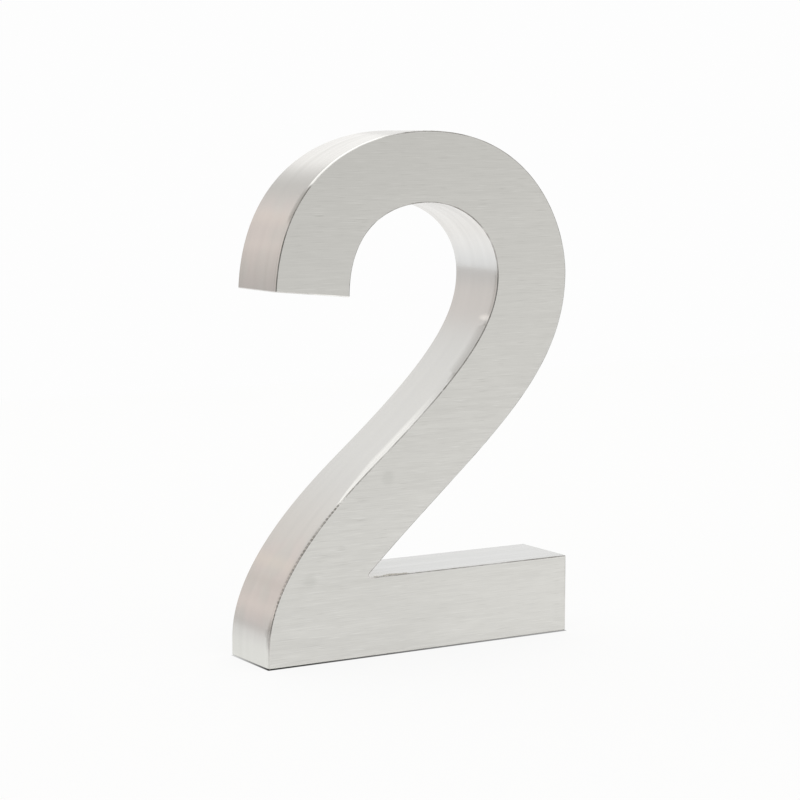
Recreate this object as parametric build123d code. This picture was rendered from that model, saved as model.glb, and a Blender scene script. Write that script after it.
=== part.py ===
# House number 2, a built-up numeral of stainless steel sheet, hollow and open at the back.
# A flat face plate lies on four bent strips, welded to it and to each other at the corners,
# and three threaded sleeves are welded inside for the studs that hold it on a wall.
# It faces -Y and stands upright on its base bar, with +Z up. The origin is on the ground,
# midway along the base bar and midway through the depth. Lengths are in millimetres.
import os
from math import radians, sin, sqrt

from build123d import *

# Overall size
number_height = 200.0
number_width = 135.0
number_depth = 30.0

# Sheet
face_thickness = 1.5
strip_thickness = 1.2
edge_break = 0.35  # radius ground along the front edge
corner_radius = 0.5  # outside radius of the folded and welded corners
notch_radius = 0.8  # weld ground smooth in the notch under the stem

# Heights are measured from the ground, and distances across from the numeral's left side
crown_across = 70.0  # highest point of the bowl
crown_stroke = 27.4
bowl_stroke = 32.4
bowl_height = 144.0  # where the bowl is widest
bowl_setback = 1.2  # how far the bowl stays short of the base bar's end
hook_across = 3.8
hook_height = 140.8
hook_width = 31.7
hook_slant = 5.4  # degrees that the cut end of the hook drops towards the bowl
hook_lean = 3.0  # degrees that the hook's outer side leans in as it rises
base_bar_height = 30.8
notch_across = 42.3
notch_angle = 43.5  # degrees between the stem's underside and the base bar
stem_join_across = 48.5  # where the stem's upper side goes from hollow to full
stem_join_height = 76.2
stem_join_angle = 39.6
foot_rise = 6.8  # straight stretch above the left foot

# How long a curve holds its direction at each end, as a share of its chord
hook_hold_ratio = 0.465
crown_left_hold_ratio = 0.38
crown_right_hold_ratio = 0.56
bowl_upper_hold_ratio = 0.24
bowl_lower_hold_ratio = 0.30
notch_hold_ratio = 0.455
counter_hook_hold_ratio = 0.53
counter_left_hold_ratio = 0.36
counter_right_hold_ratio = 0.386
side_upper_hold_ratio = 0.402
side_lower_hold_ratio = 0.215
stem_upper_hold_ratio = 0.58
stem_lower_hold_ratio = 0.243
foot_hold_ratio = 0.342
arc_pairs_per_curve = 3

# Threaded sleeves, M5 with the thread's tapping bore
sleeve_diameter = 8.0
sleeve_bore = 4.2
sleeve_bore_depth = 16.0
sleeve_setback = 3.0  # how far the mouth stays behind the rim
sleeve_chamfer = 0.5
sleeve_weld_leg = 1.2
sleeve_foot_inset = 18.0  # from either end of the base bar to its sleeves

front_y = -number_depth / 2
strip_depth = number_depth - face_thickness
front_plane = Plane((0, front_y, 0), x_dir=(1, 0, 0), z_dir=(0, -1, 0))
seam_plane = Plane((0, front_y + face_thickness, 0), x_dir=(1, 0, 0), z_dir=(0, -1, 0))


def spot(across, height):
    # A point of the flat outline, with X from the middle of the numeral and Y as its height
    return Vector(across - number_width / 2, height)


def heading(angle, length=1.0):
    return Vector(length, 0).rotate(Axis.Z, angle)


def inwards(point, direction, inset):
    # The outline is clockwise, so the metal lies on its right
    return point + direction.rotate(Axis.Z, -90) * inset


def curve(start, start_angle, start_hold, end, end_angle, end_hold, inset):
    # One smooth stretch of the outline, tangent to the given directions at its ends. Sheet
    # is bent on rolls, so the stretch is a chain of tangent arcs along a guiding curve.
    chord = (end - start).length
    start_pull = start + heading(start_angle, start_hold * chord)
    end_pull = end - heading(end_angle, end_hold * chord)
    guide = Bezier(start, start_pull, end_pull, end)
    stations = [step / arc_pairs_per_curve for step in range(arc_pairs_per_curve + 1)]
    arcs = []
    for near, far in zip(stations, stations[1:]):
        arcs += arc_pair(guide @ near, guide % near, guide @ far, guide % far, inset)
    return arcs


def arc_pair(start, start_heading, end, end_heading, inset):
    # Two arcs that meet tangentially between two points with given headings. Each has the
    # same reach from its end point to the corner of its tangents. Both are then set inwards.
    span = end - start
    along = span.dot(start_heading + end_heading)
    turning = 2 * (1 - start_heading.dot(end_heading))
    reach = span.dot(span) / (along + sqrt(along**2 + turning * span.dot(span)))
    first_corner = start + start_heading * reach
    second_corner = end - end_heading * reach
    joint_heading = (second_corner - first_corner).normalized()
    joint = inwards((first_corner + second_corner) / 2, joint_heading, inset)
    first = TangentArc(inwards(start, start_heading, inset), joint, tangent=start_heading)
    second = TangentArc(joint, inwards(end, end_heading, inset), tangent=joint_heading)
    return [first, second]


# Key points of the outline
hook_outer = spot(hook_across, hook_height)
hook_inner = hook_outer + heading(-hook_slant, hook_width)
crown = spot(crown_across, number_height)
bowl_side = spot(number_width - bowl_setback, bowl_height)
notch = spot(notch_across, base_bar_height)
foot_right_top = spot(number_width, base_bar_height)
foot_right = spot(number_width, 0)
foot_left = spot(0, 0)
foot_left_top = spot(0, foot_rise)
stem_join = spot(stem_join_across, stem_join_height)
inner_side = spot(number_width - bowl_setback - bowl_stroke, bowl_height)
inner_crown = spot(crown_across, number_height - crown_stroke)


def outer_curves(inset=0):
    # From the hook over the crown, down the bowl and under the stem to the notch
    stretches = [
        (hook_outer, 90 - hook_lean, hook_hold_ratio, crown, 0, crown_left_hold_ratio),
        (crown, 0, crown_right_hold_ratio, bowl_side, -90, bowl_upper_hold_ratio),
        (bowl_side, -90, bowl_lower_hold_ratio, notch, notch_angle - 180, notch_hold_ratio),
    ]
    return [arc for stretch in stretches for arc in curve(*stretch, inset)]


def inner_curves(inset=0):
    # From the left foot up the stem and round the inside of the bowl to the hook
    stretches = [
        (foot_left_top, 90, foot_hold_ratio, stem_join, stem_join_angle, stem_lower_hold_ratio),
        (stem_join, stem_join_angle, stem_upper_hold_ratio, inner_side, 90, side_lower_hold_ratio),
        (inner_side, 90, side_upper_hold_ratio, inner_crown, 180, counter_right_hold_ratio),
        (inner_crown, 180, counter_left_hold_ratio, hook_inner, -90, counter_hook_hold_ratio),
    ]
    return [arc for stretch in stretches for arc in curve(*stretch, inset)]


def numeral_outline():
    # Clockwise: over the crown, down the stem, round the base bar and back inside the bowl
    edges = [
        *outer_curves(),
        Polyline(notch, foot_right_top, foot_right, foot_left, foot_left_top),
        *inner_curves(),
        Line(hook_inner, hook_outer),
    ]
    sharp = make_face(edges)
    outer_corners = [hook_outer, hook_inner, foot_left, foot_right, foot_right_top]
    softened = fillet([corner_at(sharp, point) for point in outer_corners], corner_radius)
    return fillet(corner_at(softened, notch), notch_radius)


def numeral_hollow():
    # The outline set in by the thickness of the strips, which leaves their band round it
    outer = outer_curves(strip_thickness)
    inner = inner_curves(strip_thickness)
    step = strip_thickness
    base_corners = [
        foot_right_top + (-step, -step),
        foot_right + (-step, step),
        foot_left + (step, step),
    ]
    edges = [
        *outer,
        Polyline(outer[-1] @ 1, notch_mitre(), *base_corners, inner[0] @ 0),
        *inner,
        Line(inner[-1] @ 1, outer[0] @ 0),
    ]
    past_end = heading(-hook_slant, step)
    up = heading(90 - hook_slant, step)
    left = hook_outer - past_end
    right = hook_inner + past_end
    cut_end = make_face(Polyline(left - up, left + up, right + up, right - up, close=True))
    return make_face(edges) - cut_end


def notch_mitre():
    # Inner corner of the two strips that meet in the notch
    return notch - heading(notch_angle / 2, strip_thickness / sin(radians(notch_angle / 2)))


def corner_at(sketch, point):
    return sketch.vertices().sort_by_distance(point)[0]


def corner_point(sketch, point):
    return Vector(*corner_at(sketch, point))


def mitre(outer, inner):
    # The line along which two strips meet, carried on past the sheet at both ends
    across = inner - outer
    return outer - across, inner + across


def hook_region(hollow):
    # Between the two corners of the hook's cut end
    outer_out, outer_in = mitre(hook_outer, corner_point(hollow, hook_outer))
    inner_out, inner_in = mitre(hook_inner, corner_point(hollow, hook_inner))
    return make_face(Polyline(outer_out, outer_in, inner_in, inner_out, close=True))


def base_region(hollow):
    # Round the base bar, from the notch over its right end to the left foot
    notch_out, notch_in = mitre(notch, notch_mitre())
    left_out, left_in = mitre(foot_left, corner_point(hollow, foot_left))
    below = Vector(foot_right.X + strip_thickness, left_out.Y)
    above = Vector(foot_right.X + strip_thickness, notch_out.Y)
    return make_face(Polyline(notch_in, left_in, left_out, below, above, notch_out, close=True))


def face_plate(outline):
    plate = extrude(front_plane * outline, -face_thickness)
    front_edges = plate.faces().sort_by(Axis.Y)[0].edges()
    return fillet(front_edges, edge_break)


def strips(outline):
    # The band of sheet that follows the outline, cut at four corners into separate strips
    hollow = numeral_hollow()
    band = outline - hollow
    hook_part = hook_region(hollow)
    base_part = base_region(hollow)
    long_strips = (band - hook_part - base_part).faces()
    inner, outer = long_strips.sort_by(lambda strip: strip.bounding_box().max.X)
    flat = {
        "outer_return": outer,
        "inner_return": inner,
        "hook_end_return": band & hook_part,
        "base_return": band & base_part,
    }
    return {name: extrude(seam_plane * shape, -strip_depth) for name, shape in flat.items()}


def sleeve(across, height):
    # Turned sleeve with a blind tapped bore, and the fillet of weld round its foot
    radius = sleeve_diameter / 2
    bore = sleeve_bore / 2
    length = strip_depth - sleeve_setback
    bore_floor = length - sleeve_bore_depth
    drill_tip = bore_floor - bore / 2
    profile = Polyline(
        (0, 0),
        (radius + sleeve_weld_leg, 0),
        (radius, sleeve_weld_leg),
        (radius, length - sleeve_chamfer),
        (radius - sleeve_chamfer, length),
        (bore + sleeve_chamfer, length),
        (bore, length - sleeve_chamfer),
        (bore, bore_floor),
        (0, drill_tip),
        close=True,
    )
    turned = revolve(Plane.XZ * make_face(profile), Axis.Z)
    foot = spot(across, height)
    standing = Plane((foot.X, front_y + face_thickness, foot.Y), z_dir=(0, 1, 0))
    return standing * turned


sleeve_places = {
    "sleeve_crown": (crown_across, number_height - crown_stroke / 2),
    "sleeve_base_left": (sleeve_foot_inset, base_bar_height / 2),
    "sleeve_base_right": (number_width - sleeve_foot_inset, base_bar_height / 2),
}

outline = numeral_outline()
pieces = {"face_plate": face_plate(outline)}
pieces.update(strips(outline))
for name, (across, height) in sleeve_places.items():
    pieces[name] = sleeve(across, height)

os.makedirs("parts", exist_ok=True)
for name, piece in pieces.items():
    export_step(piece, f"parts/{name}.step")
    box = piece.bounding_box()
    print(f"{name}: {piece.volume:.0f} mm3, {box.size.X:.2f} x {box.size.Y:.2f} x {box.size.Z:.2f}")
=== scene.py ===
# House number 2 of brushed stainless steel: a face plate laser-welded onto bent strips,
# hollow behind, with three threaded sleeves. Lengths in the dictionaries are millimetres.
import math
from functools import partial

import bmesh
import bpy
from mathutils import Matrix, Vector, kdtree


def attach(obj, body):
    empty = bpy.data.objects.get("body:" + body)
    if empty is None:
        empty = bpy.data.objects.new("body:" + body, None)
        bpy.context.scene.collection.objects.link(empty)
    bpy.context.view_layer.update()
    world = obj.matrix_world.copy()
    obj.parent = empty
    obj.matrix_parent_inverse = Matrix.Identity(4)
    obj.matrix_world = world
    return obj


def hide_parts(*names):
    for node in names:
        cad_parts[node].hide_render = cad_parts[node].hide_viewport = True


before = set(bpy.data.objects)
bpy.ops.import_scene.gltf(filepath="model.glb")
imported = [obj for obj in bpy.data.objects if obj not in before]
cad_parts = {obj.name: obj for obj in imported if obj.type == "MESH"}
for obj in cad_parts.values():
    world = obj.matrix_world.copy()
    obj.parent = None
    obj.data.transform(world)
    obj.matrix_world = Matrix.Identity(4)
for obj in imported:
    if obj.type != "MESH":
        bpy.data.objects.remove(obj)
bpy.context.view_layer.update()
print("frame loaded:", sorted(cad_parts))


def mm(length):
    return length / 1000


def linearColour(hexText):
    # sRGB hex to the linear values that the shaders take
    channels = [int(hexText[i:i + 2], 16) / 255 for i in (1, 3, 5)]
    linear = [c / 12.92 if c <= 0.04045 else ((c + 0.055) / 1.055) ** 2.4 for c in channels]
    return (*linear, 1.0)


def setInputs(node, values):
    # A node or a socket is linked, a hex colour is turned to linear, and anything else is set
    for key, value in values.items():
        if isinstance(value, bpy.types.Node):
            value = next(socket for socket in value.outputs if socket.enabled)
        if isinstance(value, bpy.types.NodeSocket):
            node.id_data.links.new(value, node.inputs[key])
        elif isinstance(value, str) and value.startswith("#"):
            node.inputs[key].default_value = linearColour(value)
        else:
            node.inputs[key].default_value = value


def addNode(tree, kind, *values, **settings):
    # One node with its settings. The values fill its sockets in order, or by name where they
    # come in a dictionary. The kind of a shader's node is given without its ShaderNode.
    node = tree.nodes.new(kind if "Node" in kind else "ShaderNode" + kind)
    for name, value in settings.items():
        setattr(node, name, value)
    if not (values and isinstance(values[0], dict)):
        values = [dict(zip((k for k, socket in enumerate(node.inputs) if socket.enabled), values))]
    setInputs(node, values[0])
    return node


def linkObject(name, data):
    piece = bpy.data.objects.new(name, data)
    bpy.context.scene.collection.objects.link(piece)
    return piece


def newMesh(name, points, edges=(), faces=()):
    mesh = bpy.data.meshes.new(name)
    mesh.from_pydata(points, edges, faces)
    return mesh


def addLayer(mesh, name, values, kind="FLOAT"):
    # A value for each point, which nodes read by its name
    layer = mesh.attributes.new(name, kind, "POINT")
    layer.data.foreach_set("value" if kind == "FLOAT" else "vector", values)


# The outline of the figure, clockwise from the cut end of the hook
numeral = {
    "height": 200.0,
    "width": 135.0,
    "depth": 30.0,
    "plateThickness": 1.5,
    "stripThickness": 1.2,
    "cornerRadius": 0.5,
    "notchRadius": 0.8,
    "crownAcross": 70.0,
    "crownStroke": 27.4,
    "bowlStroke": 32.4,
    "bowlHeight": 144.0,
    "bowlSetback": 1.2,
    "hookAcross": 3.8,
    "hookHeight": 140.8,
    "hookWidth": 31.7,
    "hookSlant": 5.4,
    "hookLean": 3.0,
    "baseHeight": 30.8,
    "notchAcross": 42.3,
    "notchAngle": 43.5,
    "stemJoinAcross": 48.5,
    "stemJoinHeight": 76.2,
    "stemJoinAngle": 39.6,
    "footRise": 6.8,
    "stationSpacing": 1.1,  # between the points that the sheet is drawn through
    # How far each bend holds its first and last way, as shares of its chord
    "crownLeft": (0.465, 0.38),
    "crownRight": (0.56, 0.24),
    "stemUnder": (0.30, 0.455),
    "stemLow": (0.342, 0.243),
    "stemHigh": (0.58, 0.215),
    "bowlRight": (0.402, 0.386),
    "bowlLeft": (0.36, 0.53),
}


def spot(across, height):
    return Vector((across - numeral["width"] / 2, height))


def heading(angle):
    return Vector((math.cos(math.radians(angle)), math.sin(math.radians(angle))))


def inwards(direction):
    return Vector((direction.y, -direction.x))  # the metal lies on the right


def bend(start, startAngle, end, endAngle, name):
    # A smooth stretch that leaves and arrives at the given angles
    startHold, endHold = numeral[name]
    chord = (end - start).length
    a, d = start, end
    b = start + heading(startAngle) * startHold * chord
    c = end - heading(endAngle) * endHold * chord

    def at(t):
        u = 1 - t
        place = a * u ** 3 + b * 3 * u * u * t + c * 3 * u * t * t + d * t ** 3
        slope = (b - a) * u * u + (c - b) * 2 * u * t + (d - c) * t * t
        return place, slope.normalized()

    return at


def straight(start, end):
    def at(t):
        return start.lerp(end, t), (end - start).normalized()

    return at


def numeralLegs():
    n = numeral
    hookOuter = spot(n["hookAcross"], n["hookHeight"])
    hookInner = hookOuter + heading(-n["hookSlant"]) * n["hookWidth"]
    crown = spot(n["crownAcross"], n["height"])
    bowlSide = spot(n["width"] - n["bowlSetback"], n["bowlHeight"])
    notch = spot(n["notchAcross"], n["baseHeight"])
    footRightTop = spot(n["width"], n["baseHeight"])
    footRight = spot(n["width"], 0)
    footLeft = spot(0, 0)
    footLeftTop = spot(0, n["footRise"])
    stemJoin = spot(n["stemJoinAcross"], n["stemJoinHeight"])
    innerSide = bowlSide - Vector((n["bowlStroke"], 0))
    innerCrown = crown - Vector((0, n["crownStroke"]))
    return [
        ("outer", bend(hookOuter, 90 - n["hookLean"], crown, 0, "crownLeft")),
        ("outer", bend(crown, 0, bowlSide, -90, "crownRight")),
        ("outer", bend(bowlSide, -90, notch, n["notchAngle"] - 180, "stemUnder")),
        ("base", straight(notch, footRightTop)),
        ("base", straight(footRightTop, footRight)),
        ("base", straight(footRight, footLeft)),
        ("inner", straight(footLeft, footLeftTop)),
        ("inner", bend(footLeftTop, 90, stemJoin, n["stemJoinAngle"], "stemLow")),
        ("inner", bend(stemJoin, n["stemJoinAngle"], innerSide, 90, "stemHigh")),
        ("inner", bend(innerSide, 90, innerCrown, 180, "bowlRight")),
        ("inner", bend(innerCrown, 180, hookInner, -90, "bowlLeft")),
        ("hook", straight(hookInner, hookOuter)),
    ]


def roundCorner(before, after, radius, side):
    # Where an arc touches two legs that meet. One of them is straight. Side is 1 where the
    # arc's middle lies in the metal, and -1 in the notch. Returns both ends' t and the arc.
    corner, lineWay = after(0)[0], after(0)[1]
    beforeStraight = (before(0)[1] - before(1)[1]).length < 1e-6
    bent, bentEnd = (after, 0.0) if beforeStraight else (before, 1.0)
    if beforeStraight:
        lineWay = before(1)[1]
    lineIn = inwards(lineWay) * side

    def reach(t):
        place, way = bent(t)
        return (place + inwards(way) * side * radius - corner).dot(lineIn)

    far, near = abs(bentEnd - 0.3), bentEnd
    for _ in range(50):
        middle = (far + near) / 2
        if reach(middle) > radius:
            far = middle
        else:
            near = middle
    place, way = bent(near)
    centre = place + inwards(way) * side * radius
    onLine = centre - lineIn * radius
    ends = (onLine, place) if beforeStraight else (place, onLine)
    startAngle = math.atan2(*(ends[0] - centre).yx)
    sweep = math.atan2(*(ends[1] - centre).yx) - startAngle
    sweep = (sweep + math.pi) % (2 * math.pi) - math.pi
    arc = []
    for step in range(1, 8):
        angle = startAngle + sweep * step / 8
        out = Vector((math.cos(angle), math.sin(angle)))
        arc.append((centre + out * radius, -out * side))
    lineLeg = before if beforeStraight else after
    lineLength = (lineLeg(1)[0] - lineLeg(0)[0]).length
    tLine = (onLine - corner).length / lineLength
    return (1 - tLine, near, arc) if beforeStraight else (near, tLine, arc)


def numeralStations():
    # Points all round the outline, each with its strip, the way into the metal, the place of
    # the sheet's inner side and the distance run. Seven points round each corner.
    legs = numeralLegs()
    thickness = numeral["stripThickness"]
    total = len(legs)
    spans = [[0.0, 1.0] for _ in legs]
    arcs = {}
    for index, (name, at) in enumerate(legs):
        nextName, nextAt = legs[(index + 1) % total]
        if (at(1)[1] - nextAt(0)[1]).length < 0.02:
            continue
        side = -1 if (name, nextName) == ("outer", "base") else 1
        radius = numeral["cornerRadius" if side > 0 else "notchRadius"]
        spans[index][1], spans[(index + 1) % total][0], arc = roundCorner(at, nextAt, radius, side)
        arcs[index] = (arc, side)
    stations, folds = [], []
    for index, (name, at) in enumerate(legs):
        first, last = spans[index]
        length = sum((at((k + 1) / 40)[0] - at(k / 40)[0]).length for k in range(40))
        count = max(2, round(length * (last - first) / numeral["stationSpacing"]))
        for k in range(0 if (index - 1) % total in arcs else 1, count + 1):
            place, way = at(first + (last - first) * k / count)
            into = inwards(way)
            stations.append({"strip": name, "place": place, "in": into,
                             "inner": place + into * thickness})
        if index not in arcs:
            continue
        arc, side = arcs[index]
        nextName, nextAt = legs[(index + 1) % total]
        placeA, wayA = at(last)
        placeB, wayB = nextAt(spans[(index + 1) % total][0])
        a, b = placeA + inwards(wayA) * thickness, placeB + inwards(wayB) * thickness
        run = ((b - a).x * wayB.y - (b - a).y * wayB.x) / (wayA.x * wayB.y - wayA.y * wayB.x)
        mitre = a + wayA * run
        folds.append((len(stations) + 3, mitre, wayA, wayB, side))
        for k, (place, into) in enumerate(arc):
            inner = mitre
            if side < 0:
                inner = (a if k < 4 else b).lerp(mitre, min((k + 1) / 4, (7 - k) / 4))
            stations.append({"strip": name if k < 3 else nextName, "place": place, "in": into,
                             "inner": inner})
        stations[-4]["mitre"] = name != nextName
    count = len(stations)
    for middle, mitre, wayA, wayB, side in folds:
        # Beside a corner the inner side of the sheet stops where the two sheets meet
        for step in range(4, 9):
            before, after = stations[(middle - step) % count], stations[(middle + step) % count]
            if side > 0 and (before["inner"] - mitre).dot(wayA) > 0:
                before["inner"] = mitre
            if side > 0 and (after["inner"] - mitre).dot(wayB) < 0:
                after["inner"] = mitre
    run = 0.0
    for index, station in enumerate(stations):
        station["along"] = run
        run += (stations[(index + 1) % count]["place"] - station["place"]).length
    return stations, run


stations, outlineLength = numeralStations()
print("outline drawn:", len(stations), "points,", round(outlineLength), "mm round")


# Stretches of the front edge with painted light: strip, lowest and highest point, tone
# and how far it fades in at either end. Tone 1 is a thin painted highlight line, 2 a wide painted
# highlight band, and below 0 it is a dull band of painted shade.
dressedStretches = [
    ("outer", 178.5, 199.5, 1.0, 2.5, 2.5),
    ("outer", 165.5, 179.5, -0.8, 2.5, 2.5),
    ("inner", 6.5, 20.0, -0.9, 5.5, 5.5),
    ("inner", 28.0, 58.0, -0.25, 8.0, 8.0),
    ("inner", 59.0, 101.5, 1.0, 2.5, 2.0),
    ("inner", 60.0, 101.5, 1.0, 15.0, 2.0),
    ("inner", 103.5, 127.0, -1.0, 4.0, 2.5),
    ("inner", 126.0, 150.0, -0.35, 5.0, 7.0),
    ("hook", 100.0, 180.0, 0.8, 5.0, 5.0),
]


def dressingAt(station):
    tone = 0.0
    if station["strip"] == "outer" and station["place"].x > 0:
        return tone
    for strip, low, high, strength, fadeLow, fadeHigh in dressedStretches:
        if station["strip"] == strip and low < station["place"].y < high:
            tone += strength * min(1.0, (station["place"].y - low) / fadeLow,
                                   (high - station["place"].y) / fadeHigh)
    return tone


def chainMesh(name, points, inward, along, dressing):
    # A line of edges for the sweep to follow, with the way across the sheet at each point
    mesh = newMesh(name, [(mm(p.x), 0, mm(p.y)) for p in points],
                   [(k, k + 1) for k in range(len(points) - 1)])
    addLayer(mesh, "inward", [c for v in inward for c in (mm(v.x), 0, mm(v.y))], "FLOAT_VECTOR")
    addLayer(mesh, "along", [mm(d) for d in along])
    addLayer(mesh, "dressing", dressing)
    return mesh


def profileMesh(name, points):
    # The section of the sheet: X across it as a share of its thickness, Y the depth in metres,
    # Z the distance round the section
    girth, places = 0.0, []
    for k, (share, depth) in enumerate(points):
        if k:
            step = Vector((share - points[k - 1][0], depth - points[k - 1][1]))
            girth += math.hypot(step.x * numeral["stripThickness"], step.y)
        places.append((share, mm(depth), mm(girth)))
    return newMesh(name, places, [(k, k + 1) for k in range(len(places) - 1)])


def startTree(name, inputs, output):
    # Returns a tree of Geometry Nodes, what adds a node to it, and its named inputs
    tree = bpy.data.node_groups.new(name, "GeometryNodeTree")
    for title, kind in inputs.items():
        tree.interface.new_socket(title, in_out="INPUT", socket_type="NodeSocket" + kind)
    tree.interface.new_socket(output, in_out="OUTPUT", socket_type="NodeSocketGeometry")
    add = partial(addNode, tree)
    return tree, add, add("NodeGroupInput").outputs


def endTree(add, geometry, finish):
    smooth = add("GeometryNodeSetShadeSmooth", {"Geometry": geometry})
    real = add("GeometryNodeRealizeInstances", {"Geometry": smooth})
    add("NodeGroupOutput", {0: add("GeometryNodeSetMaterial", {"Geometry": real, "Material": finish})})


def sheetSweepTree():
    # Draws a section along a line: bent strips, and the edge of the face plate
    tree, add, given = startTree("sheetSweep", {
        "Line": "Geometry", "Section": "Object", "Wave Height": "Float", "Wave Length": "Float",
        "Seed": "Float", "Finish": "Material"}, "Sheet")
    section = add("GeometryNodeObjectInfo", {"Object": given["Section"]}).outputs["Geometry"]
    lineCount, sectionCount = (add("GeometryNodeAttributeDomainSize", {0: shape}).outputs["Point Count"]
                               for shape in (given["Line"], section))
    grid = add("GeometryNodeMeshGrid", {"Vertices X": lineCount, "Vertices Y": sectionCount})
    index = add("GeometryNodeInputIndex")
    station, corner = (add("FunctionNodeIntegerMath", index, sectionCount, operation=operation)
                       for operation in ("DIVIDE_FLOOR", "MODULO"))
    position = add("GeometryNodeInputPosition")

    def sample(shape, value, at, kind="FLOAT_VECTOR"):
        return add("GeometryNodeSampleIndex", {"Geometry": shape, "Value": value, "Index": at},
                   data_type=kind, domain="POINT")

    place = sample(given["Line"], position, station)
    across, distance, dressing = (
        sample(given["Line"], add("GeometryNodeInputNamedAttribute", {"Name": name}, data_type=kind),
               station, kind)
        for name, kind in (("inward", "FLOAT_VECTOR"), ("along", "FLOAT"), ("dressing", "FLOAT")))
    cut = add("SeparateXYZ", sample(section, position, corner)).outputs
    onLine = add("VectorMath", place, add("CombineXYZ", {"Y": cut["Y"]}), operation="ADD")
    shifted = add("VectorMath", across, cut["X"], operation="SCALE")
    onSheet = add("VectorMath", onLine, shifted, operation="ADD")
    # Bent sheet is never quite even: it dips inwards by a few hundredths of a millimetre
    waveScale = add("Math", 1.0, given["Wave Length"], operation="DIVIDE")
    wave = add("TexNoise", {"Vector": onLine, "Scale": waveScale, "Detail": 1.0, "W": given["Seed"]},
               noise_dimensions="4D")
    dip = add("Math", wave, given["Wave Height"], operation="MULTIPLY")
    dipped = add("VectorMath", add("VectorMath", across, operation="NORMALIZE"), dip, operation="SCALE")
    final = add("VectorMath", onSheet, dipped, operation="ADD")
    shape = add("GeometryNodeSetPosition", {"Geometry": grid, "Position": final})
    layout = add("GeometryNodeFieldOnDomain", add("CombineXYZ", {"X": distance, "Y": cut["Z"]}),
                 data_type="FLOAT_VECTOR", domain="POINT")
    for name, value, kind, domain in (("UVMap", layout, "FLOAT2", "CORNER"),
                                      ("dressing", dressing, "FLOAT", "POINT")):
        shape = add("GeometryNodeStoreNamedAttribute", {"Geometry": shape, "Name": name, "Value": value},
                    data_type=kind, domain=domain)
    endTree(add, add("GeometryNodeMergeByDistance", {"Geometry": shape, "Distance": 1e-6}), given["Finish"])
    return tree


def makeWithNodes(name, mesh, tree, values):
    # Runs a node tree on a mesh and keeps the result as a plain mesh
    source = linkObject(name + "Source", mesh)
    modifier = source.modifiers.new("nodes", "NODES")
    modifier.node_group = tree
    sockets = {s.name: s.identifier for s in tree.interface.items_tree if s.in_out == "INPUT"}
    for key, value in values.items():
        modifier[sockets[key]] = value
    source.update_tag()
    bpy.context.view_layer.update()
    graph = bpy.context.evaluated_depsgraph_get()
    result = bpy.data.meshes.new_from_object(source.evaluated_get(graph))
    source.modifiers.clear()
    bpy.data.objects.remove(source)
    result.materials.clear()
    result.materials.append(values["Finish"])
    result.polygons.foreach_set("material_index", [0] * len(result.polygons))
    result.name = name
    return linkObject(name, result)


def closeMesh(mesh, wallMaterial=0, sharpAngle=28):
    # Fills the open ends, turns every face outwards and keeps folds crisp. The filled ends keep
    # the first material. Returns how many edges are still open.
    work = bmesh.new()
    work.from_mesh(mesh)
    bmesh.ops.remove_doubles(work, verts=work.verts, dist=1e-7)
    known = set(work.faces)
    for face in known:
        face.material_index = wallMaterial
    rims = [edge for edge in work.edges if edge.is_boundary]
    while rims:
        loop, front = {rims[0]}, [rims[0]]
        while front:
            edge = front.pop()
            touching = {e for v in edge.verts for e in v.link_edges if e.is_boundary} - loop
            loop |= touching
            front += touching
        bmesh.ops.edgeloop_fill(work, edges=[edge for edge in work.edges if edge in loop])
        rims = [edge for edge in rims if edge not in loop]
    bmesh.ops.triangulate(work, faces=[face for face in work.faces if face not in known])
    added = [face for face in work.faces if face not in known]
    bmesh.ops.recalc_face_normals(work, faces=work.faces)
    layer = work.loops.layers.uv.get("UVMap") or work.loops.layers.uv.new("UVMap")
    for face in added:
        for loop in face.loops:
            loop[layer].uv = (loop.vert.co.x, loop.vert.co.z if abs(face.normal.y) > 0.7 else loop.vert.co.y)
    openEdges = sum(not edge.is_manifold for edge in work.edges)
    work.to_mesh(mesh)
    work.free()
    mesh.set_sharp_from_angle(angle=math.radians(sharpAngle))
    mesh.update()
    return openEdges


sheetEdges = {
    "frontRadius": 0.34,    # ground along the front edge
    "groundBand": 2.6,      # depth of the zone dressed with a fine belt after welding
    "groundDrop": 0.13,     # how much that belt took off at the front
    "seamWidth": 0.08,      # fine groove between plate and strip
    "rimRadius": 0.22,      # deburred back rim
    "waveHeight": 0.03,
    "waveLength": 26.0,
    "insideFrom": 29.25,    # how far round a strip's section its unpolished side begins
}
frontY = -numeral["depth"] / 2
seamY = frontY + numeral["plateThickness"]
backY = numeral["depth"] / 2


def groundShare(depth):
    # How far the dressed zone lies inside the outline, as a share of the strip's thickness
    s = max(0.0, 1 - (depth - frontY) / sheetEdges["groundBand"])
    return sheetEdges["groundDrop"] * s * s * (3 - 2 * s) / numeral["stripThickness"]


def stripSection():
    e, t = sheetEdges, numeral["stripThickness"]
    half, rim = e["seamWidth"] / 2, e["rimRadius"]
    outside = [(groundShare(seamY) + half / t, seamY),
               (groundShare(seamY + half) + 0.2 * half / t, seamY + half)]
    depths = [seamY + half + 0.12, seamY + 0.5, seamY + 0.9, frontY + e["groundBand"], frontY + 3.4]
    depths += [-9.5, -7, -4, -1, 2, 5, 8, 11, 13.5, backY - rim - 0.15]
    outside += [(groundShare(depth), depth) for depth in depths]
    rimArc = [(rim / t * (1 - math.cos(a)), backY - rim + rim * math.sin(a))
              for a in (math.radians(15 * k) for k in range(7))]
    rimBack = [(1 - share, depth) for share, depth in reversed(rimArc)]
    insideDepths = [13.5, 10, 6, 2, -2, -6, -10, -12.5]
    inside = [(1.0, depth) for depth in insideDepths] + [(1.0, seamY)]
    return outside + rimArc + rimBack + inside + [outside[0]]


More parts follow.
